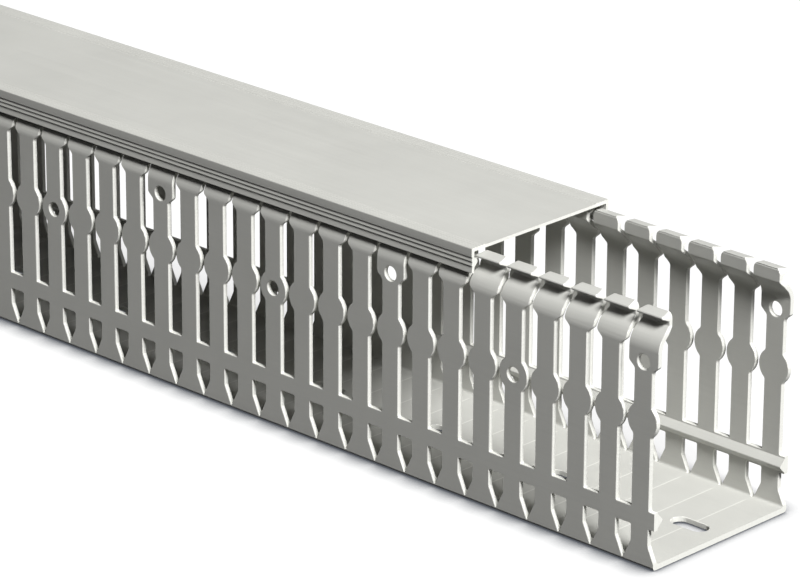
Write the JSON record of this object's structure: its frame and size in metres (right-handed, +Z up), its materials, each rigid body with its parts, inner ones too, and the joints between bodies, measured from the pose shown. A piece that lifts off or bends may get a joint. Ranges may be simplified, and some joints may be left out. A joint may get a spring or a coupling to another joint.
{
  "type": "slotted wire duct",
  "caption": "Straight slotted wire duct: a grey plastic channel with finger walls and a clip-on ribbed cover that slides along it.",
  "frame": {"origin": "middle of the base's underside", "axes": "+X along the duct towards the end that the cover leaves open, +Y across it towards the back wall, +Z up from the underside"},
  "size_m": [1.0725, 0.06, 0.08],
  "materials": {
    "base_plastic": "matte stone-grey rigid PVC",
    "cover_plastic": "matte stone-grey rigid PVC"
  },
  "bodies": {
    "base": {"duct_base": "base_plastic"},
    "cover": {"duct_cover": "cover_plastic"}
  },
  "joints": [
    {"name": "cover_slide", "type": "slide", "parent": "base", "child": "cover", "axis": [1, 0, 0], "range_m": [-0.935, 0.0725]}
  ]
}
